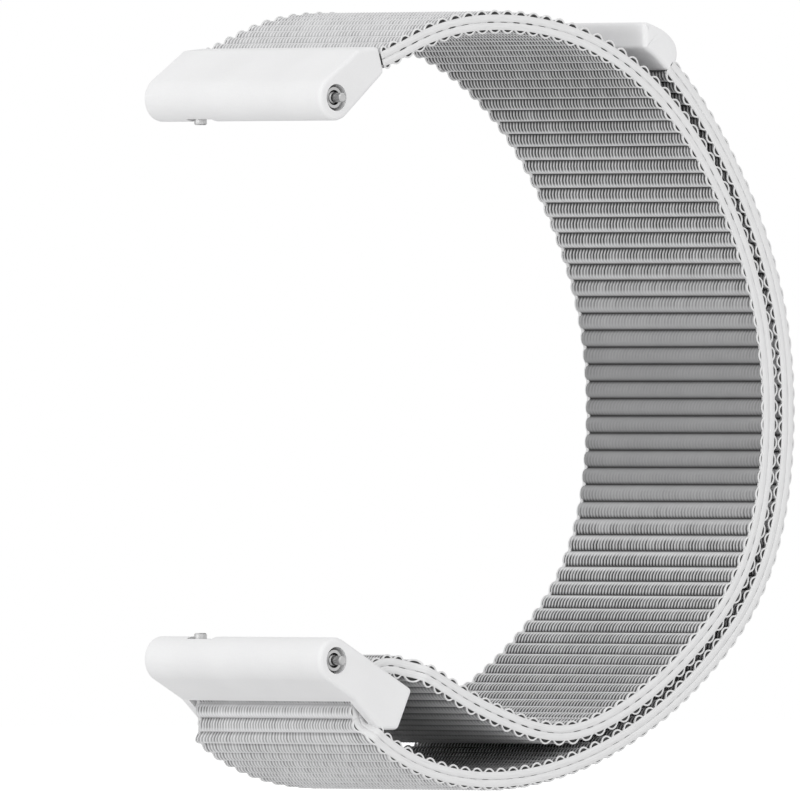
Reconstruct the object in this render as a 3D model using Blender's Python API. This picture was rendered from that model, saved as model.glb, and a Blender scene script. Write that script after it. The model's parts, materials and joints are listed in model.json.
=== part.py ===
"""Magnetic nylon watch strap for a watch head with 22 mm between its lugs.

A woven band is moulded into the upper connector, runs round the wrist, folds round the rear bar of
the lower connector (the buckle) and lies back over itself, held by magnets in its tail. Quick-release
spring bars carry both connectors. X runs across the band, Y runs back from the watch, Z is up, and
the origin lies midway between the two spring bars.
"""

import math

import bmesh
import bpy
import numpy as np
from mathutils import Matrix, Vector

MM = 0.001

# Overall sizes
LUG_WIDTH = 22.0 * MM
BAR_SPACING = 47.7 * MM
LOOP_REACH = 50.95 * MM
LOOP_RISE = 6.5 * MM

# Band
BAND_THICKNESS = 1.7 * MM
BAND_EDGE_ROUND = 0.35 * MM
BAND_NECK_CLEARANCE = 0.3 * MM
BAND_NECK_EASE = 2.0 * MM
BAND_STATION = 1.9 * MM
WRAP_STATION = 1.0 * MM
LAP_GAP = 0.5 * MM
FOLD_GAP = 0.3 * MM
FOLD_EASE = 0.9 * MM
TAIL_LIFT = 0.45 * MM
TAIL_LIFT_LENGTH = 12.0 * MM

# The run round the wrist, from the upper connector to the buckle: (share of reach, share of height)
RUN_KNOT_SHARES = (
    (0.222, 0.966),
    (0.396, 1.000),
    (0.580, 0.948),
    (0.749, 0.794),
    (0.870, 0.572),
    (0.982, 0.164),
    (0.998, -0.148),
    (0.931, -0.562),
    (0.828, -0.750),
    (0.661, -0.930),
    (0.517, -0.994),
    (0.388, -0.952),
    (0.291, -0.891),
    (0.207, -0.826),
)
LAP_START_SHARE = 0.76
LAP_END_SHARE = 0.281
BELLY_START_HANDLE = 10.0 * MM
BELLY_END_HANDLE = 12.0 * MM

# Connectors
BARREL_RADIUS = 1.95 * MM
CONNECTOR_EDGE_ROUND = 0.35 * MM
BAR_BORE_RADIUS = 1.15 * MM
SHOULDER_BACK = 2.6 * MM
SHOULDER_RISE = 4.1 * MM
MOUTH_BACK = 5.3 * MM
MOUTH_RISE = 3.25 * MM
MOUTH_HEIGHT = 2.3 * MM
MOUTH_ANGLE = math.radians(17)
SOCKET_DEPTH = 2.6 * MM

# Buckle
REAR_BAR_BACK = 7.2 * MM
REAR_BAR_DROP = 3.95 * MM
REAR_BAR_RADIUS = 2.2 * MM
WALL_THICKNESS = 1.0 * MM
WRAP_CLEARANCE = 0.4 * MM
SLOT_CLEARANCE = 0.45 * MM
WRAP_START = math.radians(97)
FOLD_ANGLE = math.radians(229)
WRAP_END = math.radians(238)
# Corners of the end walls from the rear bar's axis, as (back, up) shares of the rear bar's radius
WALL_CORNER_SHARES = ((-2.18, 0.23), (-0.87, -0.91), (0.03, -0.90), (0.78, 0.65))

# Tongues that the connector and the tab are moulded round
TONGUE_LENGTH = 2.3 * MM
CONNECTOR_TONGUE_THICKNESS = 1.0 * MM
TAB_TONGUE_THICKNESS = 1.0 * MM
TONGUE_SIDE_INSET = 1.7 * MM
TONGUE_CLEARANCE = 0.25 * MM
MOUTH_GAP = 0.12 * MM
TONGUE_STEP = 0.1 * MM

# Steel strip in the run and magnets in the tail
STRIP_WIDTH = 12.0 * MM
STRIP_THICKNESS = 0.2 * MM
STRIP_INSET = 0.6 * MM
STRIP_END_SHARE = 0.56
POCKET_CLEARANCE = 0.15 * MM
MAGNET_COUNT = 5
MAGNET_WIDTH = 12.0 * MM
MAGNET_LENGTH = 5.0 * MM
MAGNET_THICKNESS = 0.4 * MM
MAGNET_PITCH = 6.4 * MM
MAGNET_INSET = 2.0 * MM
MAGNET_EDGE_ROUND = 0.1 * MM

# End tab
TAB_LENGTH = 4.6 * MM
TAB_EDGE_ROUND = 0.6 * MM
TAB_CORNER_ROUND_SHARE = 0.2
TAB_CORNER_CUTS = 2
# The tab's side, as shares of its length (on along the band, outwards) from the middle of the tail's end
TAB_CORNER_SHARES = ((0.0, -0.23), (0.63, -0.175), (0.967, 0.211), (0.289, 0.541), (0.02, 0.45), (0.0, 0.2))

# Quick-release spring bars
TUBE_RADIUS = 0.9 * MM
TUBE_BORE_RADIUS = 0.65 * MM
TUBE_END_GAP = 0.3 * MM
PIN_RADIUS = 0.5 * MM
PIN_TIP_RADIUS = 0.4 * MM
PIN_REACH = 0.8 * MM
PIN_CHAMFER = 0.1 * MM
FIXED_PIN_DEPTH = 3.0 * MM
SLIDING_PIN_DEPTH = 6.5 * MM
LEVER_INSET = 5.1 * MM
LEVER_TRAVEL = 1.4 * MM
LEVER_STEM_RADIUS = 0.22 * MM
LEVER_KNOB_RADIUS = 0.55 * MM
LEVER_KNOB_HEIGHT = 0.9 * MM
LEVER_PROUD = 0.3 * MM
LEVER_SEAT_DEPTH = 0.6 * MM
LEVER_SEAT_CLEARANCE = 0.08 * MM
LEVER_RUN_CLEARANCE = 0.3 * MM
TUBE_SLOT_CLEARANCE = 0.3 * MM
SPRING_RADIUS = 0.44 * MM
SPRING_WIRE_RADIUS = 0.08 * MM
SPRING_TURNS = 8
SPRING_GAP = 0.15 * MM

# Facets
ROUND_STEPS = 32
SMALL_STEPS = 20
SPRING_STEPS = 9
DENSE_STEPS = 40
RIM_STEPS = 3
CUT_OVERRUN = 1.0 * MM
DIRECTION_REACH = 0.35 * MM
SAME_POINT = 0.001 * MM
SHARP_ANGLE = math.radians(35)
BEVEL_ANGLE = math.radians(40)

# Worked out from the sizes above
HALF_SPACING = BAR_SPACING / 2
LOOP_HEIGHT = HALF_SPACING + LOOP_RISE
TOP_BAR = Vector((0, 0, HALF_SPACING))
LOWER_BAR = Vector((0, 0, -HALF_SPACING))
REAR_BAR = LOWER_BAR + Vector((0, REAR_BAR_BACK, -REAR_BAR_DROP))
MOUTH = TOP_BAR + Vector((0, MOUTH_BACK, MOUTH_RISE))
WRAP_INNER = REAR_BAR_RADIUS + WRAP_CLEARANCE
WRAP_RADIUS = WRAP_INNER + BAND_THICKNESS / 2
WRAP_OUTER = WRAP_INNER + BAND_THICKNESS
SLOT_RADIUS = WRAP_OUTER + SLOT_CLEARANCE
SLOT_WIDTH = LUG_WIDTH - 2 * WALL_THICKNESS
BAND_WIDTH = LUG_WIDTH
BAND_NECK_WIDTH = SLOT_WIDTH - 2 * BAND_NECK_CLEARANCE
TONGUE_WIDTH = LUG_WIDTH - 2 * TONGUE_SIDE_INSET
TAB_WIDTH = LUG_WIDTH
LEVER_PLACE = LUG_WIDTH / 2 - LEVER_INSET
LAP_OFFSET = BAND_THICKNESS + LAP_GAP
FOLD_TURN = FOLD_GAP / WRAP_RADIUS

# Colours, roughness and metallic value of each material
FINISHES = {
    "woven_nylon": ((0.62, 0.62, 0.62), 0.85, 0.0),
    "moulded_white": ((0.80, 0.80, 0.80), 0.40, 0.0),
    "spring_bar_steel": ((0.55, 0.55, 0.56), 0.30, 1.0),
    "strip_steel": ((0.40, 0.41, 0.42), 0.35, 1.0),
    "magnet_plating": ((0.66, 0.66, 0.68), 0.22, 1.0),
}


def clear_scene():
    for obj in list(bpy.data.objects):
        bpy.data.objects.remove(obj, do_unlink=True)


def make_material(name):
    colour, roughness, metallic = FINISHES[name]
    material = bpy.data.materials.new(name)
    material.use_nodes = True
    shader = material.node_tree.nodes["Principled BSDF"]
    shader.inputs["Base Color"].default_value = (*colour, 1)
    shader.inputs["Roughness"].default_value = roughness
    shader.inputs["Metallic"].default_value = metallic
    return material


def add_object(name, mesh, finish, parent=None):
    """Links a mesh to the scene. Under a parent, its points are taken from world to the parent's place."""
    obj = bpy.data.objects.new(name, mesh)
    bpy.context.scene.collection.objects.link(obj)
    mesh.materials.append(bpy.data.materials[finish])
    if parent:
        mesh.transform(Matrix.Translation(-parent.location))
        obj.parent = parent
    mesh.shade_smooth()
    mesh.set_sharp_from_angle(angle=SHARP_ANGLE)
    return obj


def add_axis(name, place):
    """An empty on a joint's axis, which carries the pieces that move together."""
    empty = bpy.data.objects.new(name, None)
    empty.empty_display_size = BARREL_RADIUS
    empty.location = place
    bpy.context.scene.collection.objects.link(empty)
    return empty


def add_cutter(name, mesh):
    obj = bpy.data.objects.new(name, mesh)
    bpy.context.scene.collection.objects.link(obj)
    obj.hide_render = True
    obj.display_type = "WIRE"
    return obj


def combine(obj, other, operation):
    modifier = obj.modifiers.new(other.name, "BOOLEAN")
    modifier.object = other
    modifier.operation = operation
    modifier.solver = "EXACT"


def add_bevel(obj, width, segments):
    modifier = obj.modifiers.new("rounded edges", "BEVEL")
    modifier.width = width
    modifier.segments = segments
    modifier.limit_method = "ANGLE"
    modifier.angle_limit = BEVEL_ANGLE


def mesh_from(name, points, faces):
    mesh = bpy.data.meshes.new(name)
    bm = bmesh.new()
    verts = [bm.verts.new(point) for point in points]
    for face in faces:
        bm.faces.new([verts[i] for i in face])
    bmesh.ops.recalc_face_normals(bm, faces=bm.faces)
    bm.to_mesh(mesh)
    bm.free()
    return mesh


def extruded(name, outline, width, centre=0.0):
    """A side outline of (back, up) points, extruded across the band and centred on one place along X."""
    count = len(outline)
    points = [(centre + side * width / 2, y, z) for side in (-1, 1) for y, z in outline]
    faces = [tuple(range(count)), tuple(range(count, 2 * count))]
    for i in range(count):
        j = (i + 1) % count
        faces.append((i, j, count + j, count + i))
    return mesh_from(name, points, faces)


def rounded_block(name, outline, width, edge):
    """A side outline extruded across the band, its two rims rounded by drawing the outline in."""
    count = len(outline)
    middle = sum(outline, Vector((0, 0, 0))) / count
    reach = sum((point - middle).length for point in outline) / count
    turns = list(np.linspace(0, math.pi / 2, RIM_STEPS + 1))
    rims = [(-1, turn) for turn in reversed(turns)] + [(1, turn) for turn in turns]
    points = []
    for side, turn in rims:
        across = Vector((side * (width / 2 - edge + edge * math.sin(turn)), 0, 0))
        drawn_in = edge * (1 - math.cos(turn)) / reach
        points += [across + point.lerp(middle, drawn_in) for point in outline]
    rings = [range(i * count, (i + 1) * count) for i in range(len(rims))]
    faces = [tuple(rings[0]), tuple(rings[-1])]
    for first, second in zip(rings, rings[1:]):
        faces.extend(ring_faces(first, second, count))
    return mesh_from(name, points, faces)


def cut_corners(points, share, cuts):
    """An open line with its inner corners cut off at a share of their sides, more than once."""
    for _ in range(cuts):
        line = []
        for i, (a, b) in enumerate(zip(points, points[1:])):
            line.append(a if i == 0 else a.lerp(b, share))
            line.append(b if i == len(points) - 2 else b.lerp(a, share))
        points = line
    return points


def turned(name, profile, axis_place, steps):
    """A solid turned about an axis along X, from (place along X, radius) points. A radius of 0 is a pole."""
    points = []
    rings = []
    for x, radius in profile:
        count = steps if radius > 0 else 1
        rings.append(range(len(points), len(points) + count))
        for i in range(count):
            turn = 2 * math.pi * i / steps
            arm = Vector((x, radius * math.cos(turn), radius * math.sin(turn)))
            points.append(axis_place + arm)
    faces = []
    for first, second in zip(rings, rings[1:]):
        faces.extend(ring_faces(first, second, steps))
    return mesh_from(name, points, faces)


def ring_faces(first, second, steps):
    faces = []
    for i in range(steps):
        j = (i + 1) % steps
        if len(first) == 1:
            faces.append((first[0], second[i], second[j]))
        elif len(second) == 1:
            faces.append((first[i], second[0], first[j]))
        else:
            faces.append((first[i], second[i], second[j], first[j]))
    return faces


def tube_mesh(name, profile, axis_place, steps):
    """A ring turned about an axis along X from a closed profile of (place along X, radius) points."""
    points = []
    for x, radius in profile:
        for i in range(steps):
            turn = 2 * math.pi * i / steps
            points.append(axis_place + Vector((x, radius * math.cos(turn), radius * math.sin(turn))))
    faces = []
    for row in range(len(profile)):
        first = range(row * steps, (row + 1) * steps)
        after = (row + 1) % len(profile)
        second = range(after * steps, (after + 1) * steps)
        faces.extend(ring_faces(first, second, steps))
    return mesh_from(name, points, faces)


def arc(centre, radius, start, end, steps):
    """Points (back, up) on an arc in the side view."""
    turns = np.linspace(start, end, steps + 1)
    return [Vector((0, centre.y + radius * math.cos(t), centre.z + radius * math.sin(t))) for t in turns]


def clamped_spline(knots, start_direction, end_direction, steps):
    """A smooth curve through the knots that leaves and arrives along the given directions."""
    knots = np.array([(knot.y, knot.z) for knot in knots])
    spans = np.linalg.norm(np.diff(knots, axis=0), axis=1)
    count = len(knots)
    rows = np.zeros((count, count))
    right = np.zeros((count, 2))
    rows[0, 0] = 1
    rows[-1, -1] = 1
    right[0] = (start_direction.y, start_direction.z)
    right[-1] = (end_direction.y, end_direction.z)
    for i in range(1, count - 1):
        before, after = spans[i - 1], spans[i]
        rows[i, i - 1] = after
        rows[i, i] = 2 * (before + after)
        rows[i, i + 1] = before
        rise_before = (knots[i] - knots[i - 1]) / before
        rise_after = (knots[i + 1] - knots[i]) / after
        right[i] = 3 * (after * rise_before + before * rise_after)
    slopes = np.linalg.solve(rows, right)
    points = []
    for i, span in enumerate(spans):
        for t in np.linspace(0, 1, steps, endpoint=False):
            points.append(hermite(knots[i], knots[i + 1], slopes[i] * span, slopes[i + 1] * span, t))
    points.append(knots[-1])
    return [Vector((0, y, z)) for y, z in points]


def hermite(start, end, leave, arrive, t):
    rest = 1 - t
    return (
        (1 + 2 * t) * rest * rest * start
        + t * rest * rest * leave
        + t * t * (1 + 2 * rest) * end
        - t * t * rest * arrive
    )


def bezier(start, first_handle, second_handle, end, steps):
    points = []
    for i in range(steps + 1):
        t = i / steps
        rest = 1 - t
        points.append(
            rest**3 * start
            + 3 * rest * rest * t * first_handle
            + 3 * rest * t * t * second_handle
            + t**3 * end
        )
    return points


class Path:
    """A curve in the side view that answers by the distance along it."""

    def __init__(self, points):
        self.points = [points[0]]
        for point in points[1:]:
            if (point - self.points[-1]).length > SAME_POINT:
                self.points.append(point)
        steps = [(b - a).length for a, b in zip(self.points, self.points[1:])]
        self.along = np.concatenate([[0], np.cumsum(steps)])
        self.length = float(self.along[-1])

    def at(self, distance):
        """The point at a distance, and past either end the point on the straight line that carries on."""
        i = int(np.searchsorted(self.along, distance)) - 1
        i = min(max(i, 0), len(self.points) - 2)
        a, b = self.points[i], self.points[i + 1]
        return a + (b - a) * (distance - self.along[i]) / (self.along[i + 1] - self.along[i])

    def direction(self, distance):
        return (self.at(distance + DIRECTION_REACH) - self.at(distance - DIRECTION_REACH)).normalized()

    def normal(self, distance):
        """Square to the curve, on the left of its direction when seen from +X."""
        d = self.direction(distance)
        return Vector((0, -d.z, d.y))


def strip_section(width, thickness, edge):
    """A strip's section as (across, through) points, with its four edges cut off at a slant."""
    half, deep = width / 2, thickness / 2
    corners = []
    for side, face in ((1, 1), (-1, 1), (-1, -1), (1, -1)):
        near_side = (side * half, face * (deep - edge))
        near_face = (side * (half - edge), face * deep)
        corners.extend((near_side, near_face) if side * face > 0 else (near_face, near_side))
    return corners


def strip_mesh(name, path, spots, width_at, thickness_at, edge):
    """A strip swept along a path, with its width and thickness read at each spot."""
    points = []
    for s in spots:
        centre, normal = path.at(s), path.normal(s)
        for across, through in strip_section(width_at(s), thickness_at(s), edge):
            points.append(centre + Vector((across, 0, 0)) + normal * through)
    ring = len(strip_section(BAND_WIDTH, BAND_THICKNESS, edge))
    faces = [tuple(range(ring)), tuple(range(len(points) - ring, len(points)))]
    for i in range(len(spots) - 1):
        for j in range(ring):
            k = (j + 1) % ring
            faces.append((i * ring + j, i * ring + k, (i + 1) * ring + k, (i + 1) * ring + j))
    return mesh_from(name, points, faces)


def spaced(start, end, step):
    count = max(2, round(abs(end - start) / step))
    return list(np.linspace(start, end, count + 1))


def eased(value, start, end, low, high):
    """From low to high with a soft start and end."""
    share = min(max((value - start) / (end - start), 0), 1)
    return low + (high - low) * share * share * (3 - 2 * share)


def heading(angle):
    return Vector((0, math.cos(angle), math.sin(angle)))


def wrap_heading(angle):
    """The way the band goes round the rear bar at an angle from straight back."""
    return Vector((0, -math.sin(angle), math.cos(angle)))


def wrist_path():
    """From the tongue in the upper connector round the wrist to the top of the rear bar."""
    start = MOUTH - heading(MOUTH_ANGLE) * TONGUE_LENGTH
    wrap_start = arc(REAR_BAR, WRAP_RADIUS, WRAP_START, WRAP_START, 1)[0]
    knots = [start, MOUTH]
    knots += [Vector((0, y * LOOP_REACH, z * LOOP_HEIGHT)) for y, z in RUN_KNOT_SHARES]
    knots.append(wrap_start)
    return Path(clamped_spline(knots, heading(MOUTH_ANGLE), wrap_heading(WRAP_START), DENSE_STEPS))


def lap_offset(left):
    """How far outside the run the tail lies, which grows over its last stretch as the tab lifts it."""
    share = max(0, 1 - left / TAIL_LIFT_LENGTH)
    return LAP_OFFSET + TAIL_LIFT * share * share


def build_paths():
    """The run's and the tail's curves, with the distances that the pieces on them need."""
    wrist = wrist_path()
    wrapped = arc(REAR_BAR, WRAP_RADIUS, WRAP_START, FOLD_ANGLE - FOLD_TURN / 2, DENSE_STEPS)
    run = Path(wrist.points + wrapped[1:])
    lap_start = wrist.length * LAP_START_SHARE
    lap_end = wrist.length * LAP_END_SHARE
    folded = arc(REAR_BAR, WRAP_RADIUS, FOLD_ANGLE + FOLD_TURN / 2, WRAP_END, DENSE_STEPS)
    spots = np.linspace(lap_start, lap_end, DENSE_STEPS * 8 + 1)
    lapped = [wrist.at(s) + wrist.normal(s) * lap_offset(s - lap_end) for s in spots]
    leave = wrap_heading(WRAP_END)
    arrive = -wrist.direction(lap_start)
    belly = bezier(
        folded[-1],
        folded[-1] + leave * BELLY_START_HANDLE,
        lapped[0] - arrive * BELLY_END_HANDLE,
        lapped[0],
        DENSE_STEPS * 2,
    )
    tail = Path(folded + belly[1:] + lapped[1:])
    return {"run": run, "wrist_length": wrist.length, "tail": tail}


def buckle_outline():
    """The buckle from the side: the barrel, and end walls that narrow back to the flat rear of the bar."""
    corners = [REAR_BAR + Vector((0, y, z)) * REAR_BAR_RADIUS for y, z in WALL_CORNER_SHARES]
    above = tangent_angle(LOWER_BAR, corners[-1], 1)
    below = tangent_angle(LOWER_BAR, corners[0], -1)
    barrel = arc(LOWER_BAR, BARREL_RADIUS, above, below + 2 * math.pi, ROUND_STEPS)
    return [(p.y, p.z) for p in barrel + corners]


def connector_outline():
    """The upper connector from the side: barrel, sloped shoulder, flat top and mouth."""
    shoulder = TOP_BAR + Vector((0, SHOULDER_BACK, SHOULDER_RISE))
    mouth_up = heading(MOUTH_ANGLE + math.pi / 2) * (MOUTH_HEIGHT / 2)
    mouth_top = MOUTH + mouth_up
    mouth_bottom = MOUTH - mouth_up
    above = tangent_angle(TOP_BAR, shoulder, 1)
    below = tangent_angle(TOP_BAR, mouth_bottom, -1)
    barrel = arc(TOP_BAR, BARREL_RADIUS, above, below + 2 * math.pi, ROUND_STEPS)
    return [(p.y, p.z) for p in barrel + [mouth_bottom, mouth_top, shoulder]]


def tangent_angle(centre, point, side):
    """Where a line from a point touches the barrel, as an angle round the barrel's axis."""
    away = point - centre
    return math.atan2(away.z, away.y) + side * math.acos(BARREL_RADIUS / away.length)


def bar_cutters(name, axis_place, inward):
    """The bore for a spring bar, and the notch that its lever stands in."""
    half = LUG_WIDTH / 2 + CUT_OVERRUN
    bore = turned(
        name + "_bore",
        [(-half, 0), (-half, BAR_BORE_RADIUS), (half, BAR_BORE_RADIUS), (half, 0)],
        axis_place,
        ROUND_STEPS,
    )
    wide = LEVER_KNOB_RADIUS + LEVER_RUN_CLEARANCE
    start = -LEVER_PLACE - wide
    end = -LEVER_PLACE + LEVER_TRAVEL + wide
    top = axis_place.z + inward * (BARREL_RADIUS + CUT_OVERRUN)
    outline = [
        (axis_place.y - wide, axis_place.z),
        (axis_place.y + wide, axis_place.z),
        (axis_place.y + wide, top),
        (axis_place.y - wide, top),
    ]
    notch = extruded(name + "_notch", outline, end - start, (start + end) / 2)
    return add_cutter(name + "_bore", bore), add_cutter(name + "_notch", notch)


def make_top_connector(paths):
    mesh = extruded("top_connector", connector_outline(), LUG_WIDTH)
    obj = add_object("top_connector", mesh, "moulded_white")
    add_bevel(obj, CONNECTOR_EDGE_ROUND, 3)
    for cutter in bar_cutters("top_connector", TOP_BAR, -1):
        combine(obj, cutter, "DIFFERENCE")
    socket = strip_mesh(
        "connector_socket",
        paths["run"],
        spaced(TONGUE_LENGTH - SOCKET_DEPTH, TONGUE_LENGTH + CUT_OVERRUN, WRAP_STATION),
        lambda s: TONGUE_WIDTH + 2 * TONGUE_CLEARANCE,
        lambda s: CONNECTOR_TONGUE_THICKNESS + 2 * TONGUE_CLEARANCE,
        BAND_EDGE_ROUND,
    )
    combine(obj, add_cutter("connector_socket", socket), "DIFFERENCE")


def make_buckle(parent):
    mesh = extruded("buckle", buckle_outline(), LUG_WIDTH)
    obj = add_object("buckle", mesh, "moulded_white", parent)
    add_bevel(obj, CONNECTOR_EDGE_ROUND, 3)
    for cutter in bar_cutters("buckle", LOWER_BAR, 1):
        combine(obj, cutter, "DIFFERENCE")
    half = SLOT_WIDTH / 2
    profile = [(-half, REAR_BAR_RADIUS), (-half, SLOT_RADIUS), (half, SLOT_RADIUS), (half, REAR_BAR_RADIUS)]
    slot = tube_mesh("buckle_slot", profile, REAR_BAR, ROUND_STEPS * 2)
    combine(obj, add_cutter("buckle_slot", slot), "DIFFERENCE")


def make_run(paths):
    """The band from the upper connector to the fold, with an open-ended pocket for the steel strip."""
    run, wrist_length = paths["run"], paths["wrist_length"]
    neck_end = wrist_length - BAND_NECK_EASE
    shoulder = TONGUE_LENGTH + MOUTH_GAP

    def width(s):
        if s <= shoulder:
            return TONGUE_WIDTH
        return eased(s, neck_end - BAND_NECK_EASE, neck_end, BAND_WIDTH, BAND_NECK_WIDTH)

    def thickness(s):
        return CONNECTOR_TONGUE_THICKNESS if s <= shoulder else BAND_THICKNESS

    spots = [0.0, shoulder]
    spots += spaced(shoulder + TONGUE_STEP, neck_end - BAND_NECK_EASE, BAND_STATION)
    spots += spaced(neck_end - BAND_NECK_EASE, run.length, WRAP_STATION)[1:]
    mesh = strip_mesh("band_run", run, spots, width, thickness, BAND_EDGE_ROUND)
    obj = add_object("band_run", mesh, "woven_nylon")
    pocket = strip_mesh(
        "run_pocket",
        run,
        spaced(-CUT_OVERRUN, wrist_length * STRIP_END_SHARE + POCKET_CLEARANCE, BAND_STATION),
        lambda s: STRIP_WIDTH + 2 * POCKET_CLEARANCE,
        lambda s: STRIP_THICKNESS + 2 * POCKET_CLEARANCE,
        0,
    )
    combine(obj, add_cutter("run_pocket", pocket), "DIFFERENCE")


def make_steel_strip(paths):
    mesh = strip_mesh(
        "steel_strip",
        paths["run"],
        spaced(STRIP_INSET, paths["wrist_length"] * STRIP_END_SHARE, BAND_STATION),
        lambda s: STRIP_WIDTH,
        lambda s: STRIP_THICKNESS,
        0,
    )
    add_object("steel_strip", mesh, "strip_steel")


def make_tail(paths, parent):
    """The free end of the band, from the fold to the tab, with a pocket for the magnets."""
    tail = paths["tail"]
    shoulder = tail.length - MOUTH_GAP

    def width(s):
        if s >= shoulder:
            return TONGUE_WIDTH
        return eased(s, 0, FOLD_EASE, BAND_NECK_WIDTH, BAND_WIDTH)

    def thickness(s):
        return TAB_TONGUE_THICKNESS if s >= shoulder else BAND_THICKNESS

    spots = spaced(0.0, FOLD_EASE, WRAP_STATION / 2)
    spots += spaced(FOLD_EASE, shoulder - TONGUE_STEP, BAND_STATION)[1:]
    spots += [shoulder, tail.length + TONGUE_LENGTH]
    mesh = strip_mesh("band_tail", tail, spots, width, thickness, BAND_EDGE_ROUND)
    obj = add_object("band_tail", mesh, "woven_nylon", parent)
    pocket_start = tail.length - MAGNET_INSET - MAGNET_PITCH * MAGNET_COUNT
    pocket = strip_mesh(
        "tail_pocket",
        tail,
        spaced(pocket_start, tail.length + TONGUE_LENGTH + CUT_OVERRUN, BAND_STATION),
        lambda s: MAGNET_WIDTH + 2 * POCKET_CLEARANCE,
        lambda s: MAGNET_THICKNESS + 2 * POCKET_CLEARANCE,
        0,
    )
    combine(obj, add_cutter("tail_pocket", pocket), "DIFFERENCE")


def make_magnets(paths, parent):
    tail = paths["tail"]
    for i in range(MAGNET_COUNT):
        s = tail.length - MAGNET_INSET - MAGNET_PITCH * (i + 0.5)
        along, normal = tail.direction(s), tail.normal(s)
        mesh = bpy.data.meshes.new(f"tail_magnet_{i + 1}")
        bm = bmesh.new()
        bmesh.ops.create_cube(bm, size=1)
        bmesh.ops.scale(bm, vec=(MAGNET_WIDTH, MAGNET_LENGTH, MAGNET_THICKNESS), verts=bm.verts)
        turn = math.atan2(along.z, along.y)
        bmesh.ops.transform(bm, matrix=Matrix.Rotation(turn, 4, "X"), verts=bm.verts)
        bmesh.ops.translate(bm, vec=tail.at(s), verts=bm.verts)
        bm.to_mesh(mesh)
        bm.free()
        obj = add_object(f"tail_magnet_{i + 1}", mesh, "magnet_plating", parent)
        add_bevel(obj, MAGNET_EDGE_ROUND, 1)


def make_end_tab(paths, parent):
    """The moulded pull tab: a thick rounded block on the tail's end, with its tip clear of the run."""
    tail = paths["tail"]
    end = tail.at(tail.length)
    along, outward = tail.direction(tail.length), -tail.normal(tail.length)
    corners = [end + (along * on + outward * out) * TAB_LENGTH for on, out in TAB_CORNER_SHARES]
    outline = cut_corners(corners, TAB_CORNER_ROUND_SHARE, TAB_CORNER_CUTS)
    mesh = rounded_block("end_tab", outline, TAB_WIDTH, TAB_EDGE_ROUND)
    obj = add_object("end_tab", mesh, "moulded_white", parent)
    socket = strip_mesh(
        "tab_socket",
        tail,
        [tail.length - CUT_OVERRUN, tail.length + TONGUE_LENGTH + TONGUE_CLEARANCE],
        lambda s: TONGUE_WIDTH + 2 * TONGUE_CLEARANCE,
        lambda s: TAB_TONGUE_THICKNESS + 2 * TONGUE_CLEARANCE,
        BAND_EDGE_ROUND,
    )
    combine(obj, add_cutter("tab_socket", socket), "DIFFERENCE")


def box_mesh(name, low, high):
    outline = [(low.y, low.z), (high.y, low.z), (high.y, high.z), (low.y, high.z)]
    return extruded(name, outline, high.x - low.x, (low.x + high.x) / 2)


def make_bar_tube(name, axis_place, inward, parent):
    """The bar's tube, open at both ends, with a slot for the lever's stem."""
    half = LUG_WIDTH / 2 - TUBE_END_GAP
    profile = [
        (-half, TUBE_BORE_RADIUS),
        (-half, TUBE_RADIUS),
        (half, TUBE_RADIUS),
        (half, TUBE_BORE_RADIUS),
    ]
    mesh = tube_mesh(name, profile, axis_place, SMALL_STEPS)
    obj = add_object(name, mesh, "spring_bar_steel", parent)
    wide = LEVER_STEM_RADIUS + TUBE_SLOT_CLEARANCE
    low = axis_place + Vector((-LEVER_PLACE - wide, -wide, 0))
    high = axis_place + Vector((-LEVER_PLACE + LEVER_TRAVEL + wide, wide, TUBE_RADIUS + CUT_OVERRUN))
    if inward < 0:
        low.z, high.z = axis_place.z - TUBE_RADIUS - CUT_OVERRUN, axis_place.z
    combine(obj, add_cutter(name + "_slot", box_mesh(name + "_slot", low, high)), "DIFFERENCE")


def pin_profile(outer_end, step_place, inner_end):
    """A stepped pin, turned from its chamfered tip to its inner end, on either side of the middle."""
    inward = 1 if inner_end > outer_end else -1
    return [
        (outer_end, 0),
        (outer_end, PIN_TIP_RADIUS - PIN_CHAMFER),
        (outer_end + inward * PIN_CHAMFER, PIN_TIP_RADIUS),
        (step_place, PIN_TIP_RADIUS),
        (step_place + inward * PIN_CHAMFER, PIN_RADIUS),
        (inner_end, PIN_RADIUS),
        (inner_end, 0),
    ]


def make_pins(name, axis_place, inward, bar_parent, lever_parent):
    """The fixed pin at +X and the sliding pin at -X, which has a cross hole for the lever's stem."""
    tip = LUG_WIDTH / 2 + PIN_REACH
    step = LUG_WIDTH / 2 - TUBE_END_GAP
    profile = pin_profile(tip, step, step - FIXED_PIN_DEPTH)
    fixed = turned(name + "_fixed_pin", profile, axis_place, SMALL_STEPS)
    add_object(name + "_fixed_pin", fixed, "spring_bar_steel", bar_parent)
    profile = pin_profile(-tip, -step, -step + SLIDING_PIN_DEPTH)
    sliding = turned(name + "_sliding_pin", profile, axis_place, SMALL_STEPS)
    obj = add_object(name + "_sliding_pin", sliding, "spring_bar_steel", lever_parent)
    hole = LEVER_STEM_RADIUS + LEVER_SEAT_CLEARANCE
    floor = inward * (PIN_RADIUS - LEVER_SEAT_DEPTH)
    seat = upright("seat", axis_place, [(floor, hole), (inward * (PIN_RADIUS + CUT_OVERRUN), hole)])
    combine(obj, add_cutter(name + "_lever_seat", seat), "DIFFERENCE")


def upright(name, axis_place, profile):
    """A round piece that stands on the bar's axis at the lever's place, from (height, radius) points."""
    lying = [(profile[0][0], 0)] + profile + [(profile[-1][0], 0)]
    mesh = turned(name, lying, Vector((0, 0, 0)), SMALL_STEPS // 2)
    mesh.transform(Matrix.Rotation(-math.pi / 2, 4, "Y"))
    mesh.transform(Matrix.Translation(axis_place + Vector((-LEVER_PLACE, 0, 0))))
    return mesh


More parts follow.
